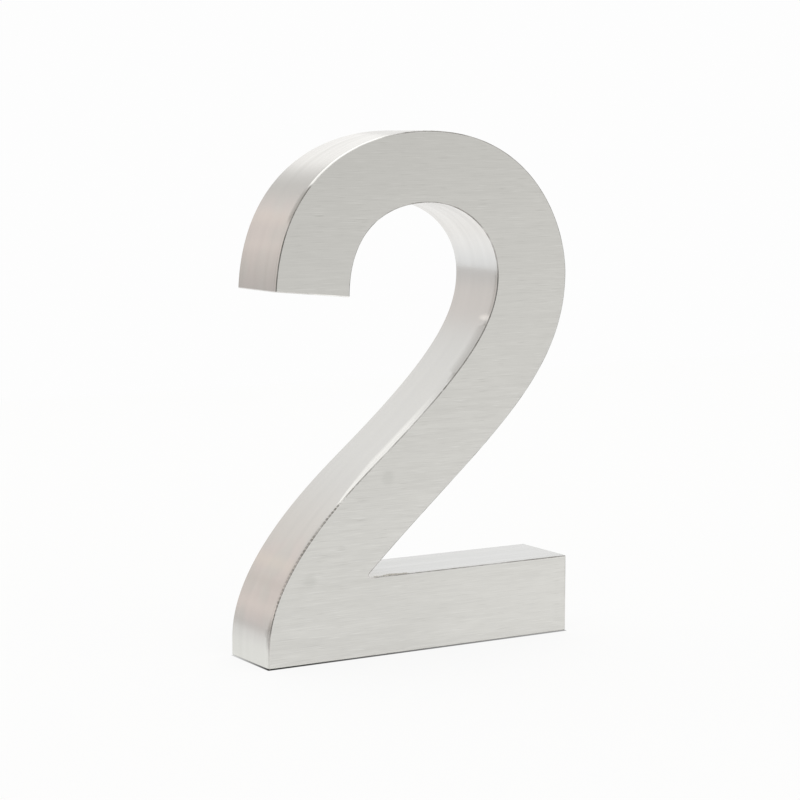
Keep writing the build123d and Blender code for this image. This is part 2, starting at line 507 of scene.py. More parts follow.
def plateSection():
    e, t = sheetEdges, numeral["stripThickness"]
    half, r = e["seamWidth"] / 2, e["frontRadius"]
    drop = groundShare(frontY + r)
    arc = [(drop + r / t * (1 - math.cos(a)), frontY + r - r * math.sin(a))
           for a in (math.radians(90 - 11.25 * k) for k in range(9))]
    side = [(groundShare(depth), depth) for depth in (frontY + r + 0.15, frontY + 0.9, seamY - half - 0.1)]
    back = [(groundShare(seamY) + 0.2 * half / t, seamY - half), (groundShare(seamY) + half / t, seamY)]
    # A sliver of the flat front comes first, narrow enough to fit inside the round corners
    return [(arc[0][0] + 0.015, frontY)] + arc + side + back


def stripLine(name, strip):
    # The stations of one strip, from mitre to mitre
    mitres = [k for k, station in enumerate(stations) if station.get("mitre")]
    first = [k for k in mitres if stations[k]["strip"] == strip][0]
    last = [k for k in mitres if k > first] or [mitres[0] + len(stations)]
    chosen = [stations[k % len(stations)] for k in range(first, last[0] + 1)]
    runs = [station["along"] for station in chosen]
    if runs[-1] < runs[0]:
        runs = [run if run >= runs[0] else run + outlineLength for run in runs]
    return chainMesh(name, [s["place"] for s in chosen], [s["inner"] - s["place"] for s in chosen], runs,
                     [dressingAt(s) for s in chosen])


soft = {"interpolation_type": "SMOOTHSTEP"}  # for a mask that comes in softly


def startMaterial(name):
    # Returns the material, what adds a node to it, and where a point is, in millimetres
    material = bpy.data.materials.new(name)
    material.use_nodes = True
    add = partial(addNode, material.node_tree)
    return material, add, add("VectorMath", add("TexCoord").outputs["Object"], 1000, operation="SCALE")


def layoutOf(add):
    # The piece's own UV map: the distance along the sheet and round its section, in millimetres
    return add("VectorMath", add("UVMap", uv_map="UVMap"), 1000, operation="SCALE")


def streaks(add, vector, long, wide, seed, detail=2.0):
    # Grinding marks: noise drawn out along X of the given vector
    scaled = add("Mapping", {"Vector": vector, "Location": (seed * 3.7, seed * 1.3, seed * 2.1),
                             "Scale": (1 / long, 1 / wide, 1 / wide)})
    return add("TexNoise", {"Vector": scaled, "Scale": 1.0, "Detail": detail, "Roughness": 0.6})


def around(add, value, middle, reach, most=1.0):
    # The most at the middle, falling softly to 0 at the reach
    off = add("Math", add("Math", value, middle, operation="SUBTRACT"), operation="ABSOLUTE")
    return add("MapRange", off, 0.0, reach, most, 0.0, **soft)


def overlap(add, *masks):
    # Where all the masks show. One may be a value and the limits between which it comes in, and
    # then what the mask is at them, if that isn't 0 and 1.
    nodes = [add("MapRange", *mask) if isinstance(mask, tuple) else mask for mask in masks]
    whole = nodes[0]
    for node in nodes[1:]:
        whole = add("Math", whole, node, operation="MULTIPLY")
    return whole


def paint(add, colour, *layers):
    # Lays tones over a colour one after the other, each where all its masks show
    for tone, *masks in layers:
        colour = add("Mix", overlap(add, *masks), colour, tone, data_type="RGBA")
    return colour


def finishMetal(material, add, colour, rough, height=None, strength=0.2, rise=0.02, anisotropy=0.0):
    inputs = {"Base Color": colour, "Roughness": rough, "Metallic": 1.0}
    if height is not None:
        inputs["Normal"] = add("Bump", {"Strength": strength, "Distance": mm(rise), "Height": height})
    if anisotropy:
        inputs |= {"Anisotropic": anisotropy, "Anisotropic Rotation": 0.25,
                   "Tangent": add("Tangent", direction_type="UV_MAP", uv_map="UVMap")}
    setInputs(material.node_tree.nodes["Principled BSDF"], inputs)
    return material


# Stainless sheet 304, ground along its width with a 180-grit belt (the trade's no. 4 finish).
# That gives the eye a soft grey with fine straight lines that smear reflections up and down.
faceFinish = {
    "lightColour": "#d6d5d1",
    "darkColour": "#cfceca",
    "scratches": [("#bcbbb6", 5), ("#e2e1de", 11)],  # deep and bright ones, each with its seed
    "grit": (11.0, 0.30),       # length and width. Real marks are 0.05 wide, too fine to show, so
                                # these are as coarse as the render needs
    "streak": (60.0, 1.6),
    "scratch": (9.0, 0.28),
    "scratchLimits": (0.68, 0.78, 0.0, 0.6),  # values of the noise, and the shares at them
    "patch": (61.2, 34.0),
    "patchLimits": (0.35, 0.65, 0.0, 0.35),
    "contrast": (0.78, 1.22),
    "roughness": (0.45, 0.35),  # on dark and on light marks
    "anisotropy": 0.72,
    "smudges": [(-49.8, 31.7, 4.2), (-15.7, 68.4, 4.0)],  # across, height and radius
    "smudgeColour": "#b9b9b4",
    "smudgeShare": 0.28,
}


def makeFaceSteel():
    f = faceFinish
    material, add, place = startMaterial("stainlessBeltGround")
    streak = add("MapRange", streaks(add, place, *f["streak"], 2, detail=1.0), 0.0, 1.0, 0.3, 0.7)
    both = add("Math", streaks(add, place, *f["grit"], 1), streak, operation="ADD")
    patch = streaks(add, place, *f["patch"], 3, detail=1.0)
    colour = paint(add, f["darkColour"], (f["lightColour"], (both, *f["contrast"])))
    for tone, seed in f["scratches"]:
        marks = streaks(add, place, *f["scratch"], seed, detail=0.0)
        colour = paint(add, colour, (tone, (marks, *f["scratchLimits"])))
    colour = paint(add, colour, (f["darkColour"], (patch, *f["patchLimits"])))
    for across, height, radius in f["smudges"]:
        gap = add("VectorMath", place, (across, frontY, height), operation="DISTANCE")
        spread = add("MapRange", gap, radius * 0.25, radius, f["smudgeShare"], 0.0, **soft)
        colour = paint(add, colour, (f["smudgeColour"], spread))
    rough = add("MapRange", both, 0.7, 1.3, *f["roughness"])
    return finishMetal(material, add, colour, rough, both, anisotropy=f["anisotropy"])


# The same steel as strip, satin polished along its length before it was bent. The zone beside
# the face was dressed again after welding. A pair of limits says where a mask starts to come in
# and where it is whole.
returnFinish = {
    "lightColour": "#d6d4d1",
    "darkColour": "#d4d2cf",
    "grit": (22.0, 0.5),        # real marks are too fine to show: as coarse as the render needs
    "broad": (90.0, 3.2),
    "contrast": (0.78, 1.22),
    "roughness": (0.27, 0.21),
    "anisotropy": 0.78,
    # Painted reflections and painted shade: faint light and dark bands across the left sides by height, as
    # the curved strips mirror the room: height, reach, share, tone
    "paintedReflectionBands": [
        (180.0, 11.0, 1.0, "#bfbdba"),
        (168.0, 4.5, 0.4, "#e2dbd5"),
        (157.5, 4.0, 0.35, "#e2dcd8"),
        (37.4, 4.0, 0.45, "#e2dcd4"),
        (30.5, 3.5, 0.3, "#cac6c2"),
        (21.6, 5.0, 0.55, "#e2dcd8"),
        (13.7, 3.5, 0.5, "#cac6c2"),
        (2.0, 14.0, 0.9, "#cfcfca"),
    ],
    "reflectionBandsAcross": (-34, -42),
    "warmPatch": 13.0,          # size of faint warm patches at the far left
    "warmColour": "#dbd2d0",
    "warmAcross": (-44, -54),
    "warmHeights": (10, 16),
    "warmLimits": (0.42, 0.58, 0.0, 0.4),  # values of the noise, and the shares at them
    "coolColour": "#d6d6d5",    # all but the left sides are a slightly cooler grey
    "coolAcross": [(-44, -30), (10, 26)],
    "coolHeights": [(40, 56), (162, 150)],
    "topAcross": (-22, -10),    # and so is the base bar's top, this far from the corner
    "topReach": 0.8,
    # Depths past the face at which the painted highlight fades, for a thin line and for a wide band
    "paintedHighlightColour": "#fcfbf8",
    "highlightFrom": (0.9, 3.2),
    "highlightTo": (1.7, 5.4),
    "highlightFadeBelow": (100.5, 87.0),  # heights between which the painted highlight band fades
    "highlightFadeAbove": (110.5, 120.5),
    "paintedShadeColour": "#a5a29e",
    "shadeFrom": 0.8,
    "dullTo": (3.3, 7.0),
    "hookShadeColour": "#b8b6b3",    # painted shade at the hook's end
    "hookAcross": (-47, -50),
    "hookShadeHeights": [(136, 139), (162, 141)],
    "hookShadeShare": 0.55,
    "highlightSpotPlace": (31.5, -12.0, 127.6),  # across, depth and height of a painted highlight spot
    "highlightSpotReach": 5.5,
    "highlightSpotShare": 0.65,
    "seamColour": "#b4b1ad",
    "seamReach": 0.12,
    "seamHeights": (16, 5),     # it shows at the foot and at the hook
    "edgeShadeColour": "#8a8783",    # painted shade along the rounded front edge, in a thin or a broad line
    "edgeFrom": (0.50, 1.25),
    "edgeTo": (0.28, 0.80),
    "broadHeights": (14, 9),    # it is broader at the foot and by the spots
    "footClear": (4.0, 21.0),   # and fades towards the foot
    "edgeBroken": (5.0, 4.0),
    "edgeLimits": (0.3, 0.65, 0.35, 1.0),
    "cleanSpot": (-23.0, 30.8),  # across and height of a spot at the notch where the grey line fades
    "cleanReach": 2.0,
    "dashHeights": (19.0, 66.0),  # where the laser left a row of spots on the edge
    "dashPitch": 1.65,
    "dashBroken": (2.5, 4.0),
    "dashLimits": (0.35, 0.55, 0.4, 1.0),
    "dashWidth": (0.15, 0.42),
    "dashFades": (8.0, 20.0),   # how far the row fades in at either end
}


def spottedRun():
    # Where the laser's row of spots starts and ends, as distances run along the outline
    low, high = returnFinish["dashHeights"]
    runs = [s["along"] for s in stations
            if s["strip"] == "inner" and s["place"].x < -12 and low < s["place"].y < high]
    return min(runs), max(runs)


def makeReturnSteel():
    r = returnFinish
    material, add, place = startMaterial("stainlessSatinStrip")
    x, y, z = add("SeparateXYZ", place).outputs
    past = add("Math", y, frontY, operation="SUBTRACT")
    layout = layoutOf(add)
    grit = streaks(add, layout, *r["grit"], 1)
    both = add("Math", grit, streaks(add, layout, *r["broad"], 2, detail=0.0), operation="ADD")
    patches = add("TexNoise", {"Vector": place, "Scale": 1 / r["warmPatch"], "Detail": 1.0})
    left = add("MapRange", x, *r["reflectionBandsAcross"])
    # Painted reflections and shade in bands by height on the left sides
    bands = [(tone, around(add, z, height, reach, share), left)
             for height, reach, share, tone in r["paintedReflectionBands"]]
    warm = ((patches, *r["warmLimits"]), (z, *r["warmHeights"]), (x, *r["warmAcross"]))
    sides = add("Math", *(add("MapRange", x, *limits, 0.0, 0.5) for limits in r["coolAcross"]),
                operation="ADD")
    sides = overlap(add, sides, *((z, *limits) for limits in r["coolHeights"]))
    top = overlap(add, around(add, z, numeral["baseHeight"], r["topReach"]), (x, *r["topAcross"]))
    cool = add("Math", sides, top, operation="MAXIMUM")
    # Painted highlight and painted shade by the front edge: a bright line or a dull band by stretches
    dressing = add("Attribute", attribute_name="dressing").outputs["Fac"]
    start, end = (add("MapRange", dressing, 1.0, 2.0, *r[name]) for name in ("highlightFrom", "highlightTo"))
    line = add("MapRange", past, start, end, add("MapRange", dressing, 1.0, 1.6, 1.0, 0.62), 0.0)
    held = add("Math", add("MapRange", z, *r["highlightFadeBelow"]), add("MapRange", z, *r["highlightFadeAbove"]),
               operation="ADD")
    # A dull band of painted shade where the stretch's tone is below 0
    dullTo = add("MapRange", dressing, -0.82, -1.0, *r["dullTo"])
    band = add("MapRange", past, r["shadeFrom"], dullTo, 1.0, 0.0, **soft)
    # Painted shade at the lower end of the hook
    low, high = r["hookShadeHeights"]
    hook = overlap(add, add("MapRange", z, *high, **soft), (x, *r["hookAcross"]), (z, *low))
    # A painted highlight spot on the inner return
    gap = add("VectorMath", place, r["highlightSpotPlace"], operation="SUBTRACT")
    gap = add("VectorMath", add("VectorMath", gap, (1, 1, 3), operation="MULTIPLY"), operation="LENGTH")
    mark = add("MapRange", gap, r["highlightSpotReach"] * 0.2, r["highlightSpotReach"], r["highlightSpotShare"], 0.0, **soft)
    seam = add("Math", add("MapRange", hook, 0.2, 0.9, 0.3, 0.8),
               add("MapRange", z, *r["seamHeights"], 0.0, 0.5), operation="ADD")
    # The laser's spots show as light gaps in the grey line of painted shade, which is wider there
    first, last = spottedRun()
    fadeFirst, fadeLast = r["dashFades"]
    run = add("SeparateXYZ", layout).outputs["X"]
    row = overlap(add, (run, first, first + fadeFirst), (run, last, last - fadeLast))
    broader = add("Math", row, add("MapRange", z, *r["broadHeights"], 0.0, 0.6), operation="MAXIMUM")
    end, start = (add("MapRange", broader, 0.0, 1.0, *r[name]) for name in ("edgeFrom", "edgeTo"))
    edge = add("MapRange", past, end, start, 0.0, 1.0, **soft)
    pitch = (last - first) / round((last - first) / r["dashPitch"])
    fromSpot = add("Math", add("Math", run, first, operation="SUBTRACT"), pitch / 2, operation="PINGPONG")
    dashes = overlap(add, add("MapRange", fromSpot, *r["dashWidth"], 1.0, 0.0, **soft), (row, 0.0, 0.3),
                     (streaks(add, layout, *r["dashBroken"], 6), *r["dashLimits"]))
    across, height = r["cleanSpot"]
    gap = add("VectorMath", place, (across, frontY, height), operation="DISTANCE")
    # The grey line of painted shade is weaker where the painted highlight runs
    bare = add("Math", add("MapRange", dressing, 0.3, 0.8, 1.0, 0.25),
               add("MapRange", dressing, 1.05, 1.3, 0.0, 0.5), operation="ADD")
    colour = paint(
        add, r["darkColour"], (r["lightColour"], (both, *r["contrast"])), (r["warmColour"], *warm), *bands,
        (r["coolColour"], cool), (r["paintedHighlightColour"], line, held, (dressing, 0.0, 1.0)),
        (r["paintedShadeColour"], band, (dressing, -0.82, -0.95, 1.0, 0.5), (dressing, 0.0, -1.0)),
        (r["hookShadeColour"], (hook, 0.0, 1.0, 0.0, r["hookShadeShare"])), (r["paintedHighlightColour"], mark),
        (r["seamColour"], around(add, y, seamY, r["seamReach"]), seam),
        (r["edgeShadeColour"], edge, (streaks(add, layout, *r["edgeBroken"], 4), *r["edgeLimits"]),
         (z, *r["footClear"], 0.5, 1.0), bare, (dashes, 0.0, 1.0, 1.0, 0.1),
         (gap, r["cleanReach"] / 2, r["cleanReach"], 0.1, 1.0)))
    rough = add("MapRange", both, 0.7, 1.3, *r["roughness"])
    return finishMetal(material, add, colour, rough, grit, 0.04, 0.01, r["anisotropy"])


# The unpolished side of the same sheet, cold rolled, pickled and skin passed (the 2B finish):
# a dull cloudy grey. Beside the welds it kept its heat tint, blue near the bead and straw outside.
millFinish = {
    "lightColour": "#c3c1bd",
    "darkColour": "#b2afab",
    "cloudSize": 7.0,
    "rolled": (60.0, 1.6),      # rolling lines are too fine to show: as coarse as the render needs
    "contrast": (0.8, 1.2),
    # Heat tints from straw to blue, the heat at which each comes in, and its share
    "tints": [("#b89c6c", 0.12, 0.45, 0.75), ("#8f7668", 0.42, 0.62, 0.75), ("#7f8aa0", 0.58, 0.78, 0.85)],
    "roughness": (0.49, 0.40),
}


def makeMillSteel():
    m = millFinish
    material, add, place = startMaterial("stainlessMill2B")
    cloud = add("TexNoise", {"Vector": place, "Scale": 1 / m["cloudSize"], "Detail": 5.0})
    both = add("Math", cloud, streaks(add, place, *m["rolled"], 7), operation="ADD")
    wander = add("MapRange", streaks(add, place, 3.5, 3.5, 8), 0.3, 0.7, -0.12, 0.12)
    heat = add("Math", add("Attribute", attribute_name="heat").outputs["Fac"], wander, operation="ADD")
    colour = paint(add, m["darkColour"], (m["lightColour"], (both, *m["contrast"])))
    for tone, low, high, share in m["tints"]:
        colour = paint(add, colour, (tone, add("MapRange", heat, low, high, 0.0, share, **soft)))
    rough = add("MapRange", both, 0.75, 1.25, *m["roughness"])
    return finishMetal(material, add, colour, rough, both, rise=0.03)


# Weld metal as the torch left it and a wire brush cleaned it: bright ripples with dull troughs
weldFinish = {
    "brushed": ("#cfccc6", "#a59d90"),  # light and dark
    "ground": ("#d2cfc8", "#b9b5ad"),   # ground down by hand beside the notch, and left with its scale
    "brush": (3.0, 0.25),       # the wires' marks are too fine to show: as coarse as it needs
    "contrast": (0.35, 0.65),
    "roughness": (0.44, 0.28),
}


def makeWeldSteel(name, lightColour, darkColour):
    w = weldFinish
    material, add, place = startMaterial(name)
    brushed = streaks(add, place, *w["brush"], 9)
    colour = paint(add, darkColour, (lightColour, (brushed, *w["contrast"])))
    rough = add("MapRange", brushed, 0.3, 0.7, *w["roughness"])
    return finishMetal(material, add, colour, rough)


# Bar of 303 turned on a lathe: fine rings round it, a little brighter than the sheet, and the
# foot is tinted by its weld
turnedFinish = {
    "lightColour": "#dad8d4",
    "darkColour": "#b9b6b1",
    "rings": (400.0, 0.16),     # the tool's feed is too fine to show: as coarse as it needs
    "contrast": (0.35, 0.65),
    "tint": "#b59c76",
    "tintReach": (3.5, 0.6),
    "roughness": (0.31, 0.21),
}


def makeTurnedSteel():
    t = turnedFinish
    material, add, place = startMaterial("stainlessTurned")
    y = add("SeparateXYZ", place).outputs["Y"]
    rings = streaks(add, layoutOf(add), *t["rings"], 10, detail=1.0)
    tinted = add("MapRange", y, *(seamY + reach for reach in t["tintReach"]), 0.0, 0.8, **soft)
    colour = paint(add, t["darkColour"], (t["lightColour"], (rings, *t["contrast"])), (t["tint"], tinted))
    rough = add("MapRange", rings, 0.3, 0.7, *t["roughness"])
    return finishMetal(material, add, colour, rough, rings, 0.35)


faceSteel = makeFaceSteel()
returnSteel = makeReturnSteel()
millSteel = makeMillSteel()
weldSteel = makeWeldSteel("weldMetalBrushed", *weldFinish["brushed"])
groundWeldSteel = makeWeldSteel("weldMetalGround", *weldFinish["ground"])
turnedSteel = makeTurnedSteel()
print("materials made:", len(bpy.data.materials))
sweepTree = sheetSweepTree()
sweepSizes = {"Wave Height": mm(sheetEdges["waveHeight"]), "Wave Length": mm(sheetEdges["waveLength"]),
              "Seed": 3.0}

# Welds. Sizes of a ripple are its length along the bead, its width and its height.
welds = {
    "pitch": 0.9,
    "stitchLength": 12.0,     # short runs inside, where plate and strip meet
    "stitchEvery": 35.0,
    "stitchRipple": (1.5, 2.3, 0.5),
    "stitchLift": 0.25,       # out of the corner, both ways
    "cornerRipple": (1.5, 2.0, 0.45),
    "sleeveRipple": (1.5, 1.9, 0.55),
    "sleeveRing": 4.45,       # radius of the bead round a sleeve's foot
    "seamSpot": (0.95, 0.40, 0.09),
    "spotSunk": 0.02,
    "spotDepth": 0.3,         # behind the front
    "notchLump": (1.5, 0.6, 0.5),
    "notchReach": (3.0, 18.0),  # distances from the notch
    "notchHump": 8.5,           # where the weld was left highest
    "notchRise": 0.5,
    "notchPitch": 1.1,
    "notchDepth": 0.42,
    "heatReach": 6.5,
}


def rippleMesh():
    # One ripple of a bead, of unit size: a low dome that leans back over the one before it
    rings = [(0.45, 0.86), (0.75, 0.58), (0.93, 0.26), (1.0, -0.1), (0.8, -0.4)]
    steps, lean = 12, 0.14
    points = [(-lean, 0.0, 1.0)]
    for radius, height in rings:
        for k in range(steps):
            angle = 2 * math.pi * k / steps
            points.append((0.5 * radius * math.cos(angle) - lean * height,
                           0.5 * radius * math.sin(angle), height))
    faces = [(0, 1 + k, 1 + (k + 1) % steps) for k in range(steps)]
    for ring in range(len(rings) - 1):
        near, far = 1 + ring * steps, 1 + (ring + 1) * steps
        faces += [(near + k, far + k, far + (k + 1) % steps, near + (k + 1) % steps) for k in range(steps)]
    faces.append(tuple(range(len(points) - steps, len(points)))[::-1])
    return newMesh("ripple", points, [], faces)


def beadTreeOf():
    # Sets a ripple on every point of a row, turned along the bead, each a little different
    tree, add, given = startTree("weldBead", {"Row": "Geometry", "Ripple": "Object", "Uneven": "Float",
                                              "Seed": "Int", "Finish": "Material"}, "Bead")
    ripple = add("GeometryNodeObjectInfo", {"Object": given["Ripple"]}).outputs["Geometry"]
    way, out, size = (add("GeometryNodeInputNamedAttribute", {"Name": name}, data_type="FLOAT_VECTOR")
                      for name in ("way", "out", "size"))
    turned = add("FunctionNodeAxesToRotation", {0: out, 1: way}, primary_axis="Z", secondary_axis="X")
    least, most = (add("Math", 1.0, given["Uneven"], operation=operation)
                   for operation in ("SUBTRACT", "ADD"))
    lot = add("FunctionNodeRandomValue", {0: least, 1: most, 8: given["Seed"]}, data_type="FLOAT_VECTOR")
    scale = add("VectorMath", size, lot, operation="MULTIPLY")
    placed = add("GeometryNodeInstanceOnPoints", {"Points": given["Row"], "Instance": ripple,
                                                  "Rotation": turned, "Scale": scale})
    endTree(add, placed, given["Finish"])
    return tree


def inSpace(flat, depth=0.0):
    return Vector((flat.x, depth, flat.y))


def between(first, last, pitch):
    # Even distances from first to last, about a pitch apart
    count = max(1, round((last - first) / pitch))
    return [first + (last - first) * k / count for k in range(count + 1)]


def stationAt(distance):
    # The outline at a distance run, as place, way into the metal and inner side
    runs = [station["along"] for station in stations]
    index = max(k for k, run in enumerate(runs) if run <= distance % outlineLength)
    near, far = stations[index], stations[(index + 1) % len(stations)]
    gap = (far["along"] - near["along"]) % outlineLength
    share = (distance % outlineLength - near["along"]) / gap
    return {key: near[key].lerp(far[key], share) for key in ("place", "in", "inner")}


def rowPoint(place, way, out, size):
    return {"place": place, "way": way.normalized(), "out": out.normalized(), "size": Vector(size)}


def alongEdge(distance, inset, depth, size, inside=False):
    # A ripple along the outline, set in from the edge or from the sheet's inner side
    here = stationAt(distance)
    into = here["in"].normalized()
    place = inSpace(here["inner" if inside else "place"] + into * inset, depth)
    out = inSpace(into, 1.0) if inside else inSpace(-into)
    return rowPoint(place, inSpace(Vector((-into.y, into.x))), out, size)


def insideStitches():
    # Short runs all round, a bead in the corner between plate and strip
    w, lift = welds, welds["stitchLift"]
    count = round(outlineLength / w["stitchEvery"])
    half = w["stitchLength"] / 2
    middles = [outlineLength * (k + 0.5) / count for k in range(count)]
    return [alongEdge(distance, lift, seamY + lift, w["stitchRipple"], inside=True)
            for middle in middles for distance in between(middle - half, middle + half, w["pitch"])]


def cornerBeads():
    # Up each of the four corners where two strips meet, on the inside
    w, rows = welds, []
    for station in [s for s in stations if s.get("mitre")]:
        out = (station["inner"] - station["place"]).normalized()
        for depth in between(seamY + 0.8, backY - 1.2, w["pitch"]):
            rows.append(rowPoint(inSpace(station["inner"] + out * 0.1, depth), Vector((0, 1, 0)),
                                 inSpace(out), w["cornerRipple"]))
    return rows


def sleeveRing(across, height):
    w, rows = welds, []
    count = round(2 * math.pi * w["sleeveRing"] / w["pitch"])
    centre = inSpace(spot(across, height), seamY + 0.3)
    for k in range(count):
        angle = 2 * math.pi * k / count
        out = Vector((math.cos(angle), 0, math.sin(angle)))
        way = Vector((-math.sin(angle), 0, math.cos(angle)))
        rows.append(rowPoint(centre + out * w["sleeveRing"], way, out + Vector((0, 1, 0)), w["sleeveRipple"]))
    return rows


def seamSpots():
    # Spots that the laser left proud on the seam at the lower left, where nothing dressed them
    inset = sheetEdges["groundDrop"] + welds["spotSunk"]
    return [alongEdge(distance, inset, frontY + welds["spotDepth"], welds["seamSpot"])
            for distance in between(*spottedRun(), returnFinish["dashPitch"])]


def notchLumps():
    # The weld ground down by hand along the front edge of the base bar, next to the notch
    w, rows = welds, []
    corner = [s for s in stations if s["strip"] == "base"][0]["along"]
    first, last = w["notchReach"]
    for k, distance in enumerate(between(first, last, w["notchPitch"])):
        off = distance - w["notchHump"]
        rise = w["notchRise"] * max(0.0, 1 + off / 2.0 if off < 0 else 1 - off / (last - w["notchHump"]))
        inset = w["notchLump"][2] - rise - 0.12 + 0.05 * (k % 3)
        rows.append(alongEdge(corner + distance, inset, frontY + w["notchDepth"], w["notchLump"]))
    return rows


def rowMesh(name, rows):
    mesh = newMesh(name, [row["place"] / 1000 for row in rows])
    for key, factor in (("way", 1.0), ("out", 1.0), ("size", 0.001)):
        addLayer(mesh, key, [c * factor for row in rows for c in row[key]], "FLOAT_VECTOR")
    return mesh


sleevePlaces = {
    "sleeve_crown": (numeral["crownAcross"], numeral["height"] - numeral["crownStroke"] / 2),
    "sleeve_base_left": (18.0, numeral["baseHeight"] / 2),
    "sleeve_base_right": (numeral["width"] - 18.0, numeral["baseHeight"] / 2),
}
weldRows = {"weldStitches": insideStitches(), "weldCorners": cornerBeads(), "weldSeamSpots": seamSpots(),
            "weldNotch": notchLumps()}
for node, (across, height) in sleevePlaces.items():
    weldRows["weldRound_" + node] = sleeveRing(across, height)
beadTree = beadTreeOf()


def makeWelds():
    ripple = linkObject("ripple", rippleMesh())
    for name, rows in weldRows.items():
        piece = makeWithNodes(name, rowMesh(name + "Row", rows), beadTree, {
            "Ripple": ripple, "Uneven": 0.25 if name in groundRows else 0.1, "Seed": len(rows),
            "Finish": groundWeldSteel if name == "weldNotch" else weldSteel})
        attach(piece, "root")
        print(name, "made:", len(rows), "ripples")
    bpy.data.objects.remove(ripple)


groundRows = ("weldSeamSpots", "weldNotch")  # these were dressed, so they left no tint
heatSources = [row["place"] / 1000 for name, rows in weldRows.items() if name not in groundRows
               for row in rows]
heatMap = kdtree.KDTree(len(heatSources))
for index, place in enumerate(heatSources):
    heatMap.insert(place, index)
heatMap.balance()


def paintHeat(mesh):
    # How hot each point got: 1 at a weld, 0 beyond the tint's reach
    reach = mm(welds["heatReach"])
    addLayer(mesh, "heat", [max(0.0, 1 - heatMap.find(v.co)[2] / reach) for v in mesh.vertices])


def divideBack(mesh, spacing=2.6):
    # Cuts the plate's back into small faces, so that the tint has points to lie on
    work = bmesh.new()
    work.from_mesh(mesh)
    reach = mm(max(numeral["width"] / 2, numeral["height"]))
    for normal in (Vector((1, 0, 0)), Vector((0, 0, 1))):
        cut = -reach
        while cut < reach:
            back = [f for f in work.faces if f.normal.y > 0.95]
            parts = dict.fromkeys(part for f in back for part in (*f.edges, *f.verts))
            bmesh.ops.bisect_plane(work, geom=back + list(parts), plane_co=normal * cut, plane_no=normal,
                                   dist=1e-7)
            cut += mm(spacing)
    work.to_mesh(mesh)
    work.free()


def sweepSheet(name, line, points, finish, wallMaterial):
    # Draws a section along a line and closes its ends
    section = linkObject(name + "Section", profileMesh(name + "Section", points))
    piece = makeWithNodes(name, line, sweepTree, {**sweepSizes, "Section": section, "Finish": finish})
    bpy.data.objects.remove(section)
    print(name, "closed, open edges:", closeMesh(piece.data, wallMaterial))
    return piece


def makeFacePlate():
    ring = stations + stations[:1]
    line = chainMesh("plateLine", [s["place"] for s in ring],
                     [s["in"] * numeral["stripThickness"] for s in ring],
                     [s["along"] for s in stations] + [outlineLength], [dressingAt(s) for s in ring])
    plate = sweepSheet("facePlate", line, plateSection(), faceSteel, wallMaterial=1)
    divideBack(plate.data)
    paintHeat(plate.data)
    plate.data.materials.append(returnSteel)
    plate.data.materials.append(millSteel)
    for polygon in plate.data.polygons:
        if polygon.normal.y > 0.9:
            polygon.material_index = 2
    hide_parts("face_plate")
    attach(plate, "root")
    return plate


def makeStrip(name, strip, node):
    piece = sweepSheet(name, stripLine(name + "Line", strip), stripSection(), returnSteel, wallMaterial=0)
    paintHeat(piece.data)
    piece.data.materials.append(millSteel)
    girths = piece.data.uv_layers["UVMap"].data
    for polygon in piece.data.polygons:
        inside = min(girths[k].uv.y for k in polygon.loop_indices) > mm(sheetEdges["insideFrom"])
        polygon.material_index = 1 if inside and abs(polygon.normal.y) < 0.5 else 0
    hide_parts(node)
    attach(piece, "root")
    return piece


facePlate = makeFacePlate()
print("face plate made:", len(facePlate.data.polygons), "faces")
for name, strip, node in (
        ("outerReturn", "outer", "outer_return"), ("baseReturn", "base", "base_return"),
        ("innerReturn", "inner", "inner_return"), ("hookEndReturn", "hook", "hook_end_return")):
    piece = makeStrip(name, strip, node)
    print(piece.name, "made:", len(piece.data.polygons), "faces")
makeWelds()


# Sleeves with an M5 thread, turned from bar. They stand on the plate and are open at the back.
sleeve = {
    "radius": 4.0,
    "mouth": 12.0,            # where the sleeve ends, in depth
    "chamfer": 0.5,
    "threadRadius": 2.5,
    "threadCore": 2.08,
    "threadPitch": 0.8,
    "threadRows": 8,          # rows of faces per turn of the thread
    "boreDepth": 16.0,
    "steps": 48,
}


def sleeveProfile():
    # Radius, depth and share of the thread, from the middle of the foot round to the drill's tip
    s = sleeve
    mouth, floor = s["mouth"], s["mouth"] - s["boreDepth"]
    rows = [(0.0, seamY, 0.0), (s["radius"], seamY, 0.0)]
    rows += [(s["radius"], depth, 0.0) for depth in between(seamY + 1, mouth - s["chamfer"], 4.0)]
    rows += [(s["radius"] - 0.1, mouth - s["chamfer"] + 0.25, 0.0), (s["radius"] - s["chamfer"], mouth, 0.0)]
    rows += [(s["threadRadius"] + 0.25, mouth, 0.0)]
    turns = between(mouth - 0.3, floor, s["threadPitch"] / s["threadRows"])
    rows += [(s["threadRadius"], depth, min(1.0, (mouth - depth) / 0.9, 0.25 + (depth - floor) / 2))
             for depth in turns]
    return rows + [(s["threadCore"], floor, 0.0), (0.0, floor - s["threadCore"] / 2, 0.0)]


